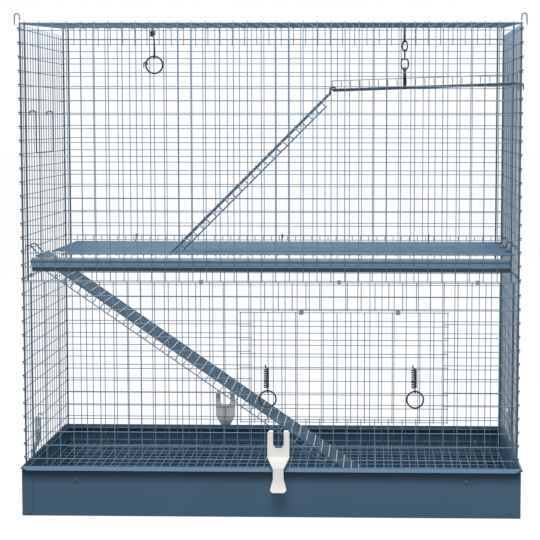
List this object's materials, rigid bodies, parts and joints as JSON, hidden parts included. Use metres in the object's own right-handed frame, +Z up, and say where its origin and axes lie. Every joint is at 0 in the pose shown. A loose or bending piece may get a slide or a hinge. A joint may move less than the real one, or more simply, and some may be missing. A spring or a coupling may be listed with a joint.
{
  "type": "small animal cage",
  "caption": "two-storey wire mesh cage for small animals: folded base pan, mesh panels, front door with spring latches, ramps between floors, shelf and hinged lid",
  "frame": {"origin": "middle of the base pan's underside, on the floor", "axes": "X along the front from left to right, Y from front to back, Z up"},
  "size_m": [0.7174, 0.3744, 0.6967],
  "materials": {
    "coated_wire": "satin coated wire",
    "painted_sheet": "painted folded sheet",
    "bright_clip": "plain bent clip",
    "dark_hardware": "dark spring wire",
    "clip_plastic": "moulded off-white"
  },
  "bodies": {
    "cage": {"lower_front_mesh": "coated_wire", "lower_back_mesh": "coated_wire", "lower_left_mesh": "coated_wire", "lower_right_mesh": "coated_wire", "upper_front_mesh": "coated_wire", "upper_back_mesh": "coated_wire", "upper_left_mesh": "coated_wire", "upper_right_mesh": "coated_wire", "corner_wraps": "coated_wire", "floor_mesh": "coated_wire", "mid_deck_mesh": "coated_wire", "mid_deck_back_lip": "coated_wire", "mid_deck_front_hem": "coated_wire", "shelf_mesh": "coated_wire", "shelf_rail": "coated_wire", "lid_hinge_curls": "coated_wire", "corner_hooks": "coated_wire", "base_pan": "painted_sheet", "mid_front_trim": "painted_sheet", "pan_rivets": "painted_sheet", "section_clips": "bright_clip", "floor_clips": "bright_clip", "door_hinge_clips": "bright_clip", "deck_hooks": "dark_hardware", "shelf_hooks": "dark_hardware", "shelf_chain": "dark_hardware", "shelf_strap": "dark_hardware"},
    "lid": {"lid_mesh": "coated_wire", "lid_back_flange": "coated_wire"},
    "front_door": {"door_mesh": "coated_wire"},
    "left_latch": {"latch_left_spring": "dark_hardware", "latch_left_ring": "dark_hardware"},
    "right_latch": {"latch_right_spring": "dark_hardware", "latch_right_ring": "dark_hardware"},
    "hanger": {"hanger_spring": "dark_hardware", "hanger_ring": "dark_hardware", "hanger_hook": "dark_hardware"},
    "lower_ramp": {"lower_ramp_mesh": "coated_wire", "lower_ramp_flange": "coated_wire", "lower_ramp_hooks": "dark_hardware"},
    "upper_ramp": {"upper_ramp_mesh": "coated_wire", "upper_ramp_flange": "coated_wire", "upper_ramp_hooks": "dark_hardware"},
    "bottle_wire": {"bottle_hanger": "dark_hardware"},
    "front_clip": {"pan_clip_front": "clip_plastic"},
    "back_clip": {"pan_clip_back": "clip_plastic"},
    "left_clip": {"pan_clip_left": "clip_plastic"},
    "right_clip": {"pan_clip_right": "clip_plastic"}
  },
  "joints": [
    {"name": "lid_hinge", "type": "hinge", "parent": "cage", "child": "lid", "pos_m": [0, -0.1676, 0.683], "axis": [1, 0, 0], "range_deg": [0, 95]},
    {"name": "door_hinge", "type": "hinge", "parent": "cage", "child": "front_door", "pos_m": [0.1, -0.17685, 0.2869], "axis": [-1, 0, 0], "range_deg": [0, 100]},
    {"name": "left_latch_pivot", "type": "hinge", "parent": "front_door", "child": "left_latch", "pos_m": [-0.0065, -0.17685, 0.2107], "axis": [-1, 0, 0], "range_deg": [0, 60]},
    {"name": "right_latch_pivot", "type": "hinge", "parent": "front_door", "child": "right_latch", "pos_m": [0.1971, -0.17685, 0.2107], "axis": [-1, 0, 0], "range_deg": [0, 60]},
    {"name": "hanger_swing", "type": "hinge", "parent": "cage", "child": "hanger", "pos_m": [-0.1602, -0.17245, 0.67265], "axis": [-1, 0, 0], "range_deg": [0, 50]},
    {"name": "lower_ramp_hinge", "type": "hinge", "parent": "cage", "child": "lower_ramp", "pos_m": [-0.3439, -0.106, 0.37075], "axis": [0, -1, 0], "range_deg": [0, 14]},
    {"name": "upper_ramp_hinge", "type": "hinge", "parent": "cage", "child": "upper_ramp", "pos_m": [0.08496, -0.0826, 0.59449], "axis": [0, 1, 0], "range_deg": [0, 35]},
    {"name": "bottle_swing", "type": "hinge", "parent": "cage", "child": "bottle_wire", "pos_m": [-0.3439, -0.019, 0.56125], "axis": [0, -1, 0], "range_deg": [0, 45]},
    {"name": "front_clip_hinge", "type": "hinge", "parent": "cage", "child": "front_clip", "pos_m": [0.0112, -0.17245, 0.1182], "axis": [-1, 0, 0], "range_deg": [0, 30]},
    {"name": "back_clip_hinge", "type": "hinge", "parent": "cage", "child": "back_clip", "pos_m": [-0.0918, 0.17245, 0.122], "axis": [1, 0, 0], "range_deg": [0, 30]},
    {"name": "left_clip_hinge", "type": "hinge", "parent": "cage", "child": "left_clip", "pos_m": [-0.3439, -0.05715, 0.1211], "axis": [0, 1, 0], "range_deg": [0, 30]},
    {"name": "right_clip_hinge", "type": "hinge", "parent": "cage", "child": "right_clip", "pos_m": [0.3439, 0.01905, 0.1211], "axis": [0, -1, 0], "range_deg": [0, 30]}
  ]
}
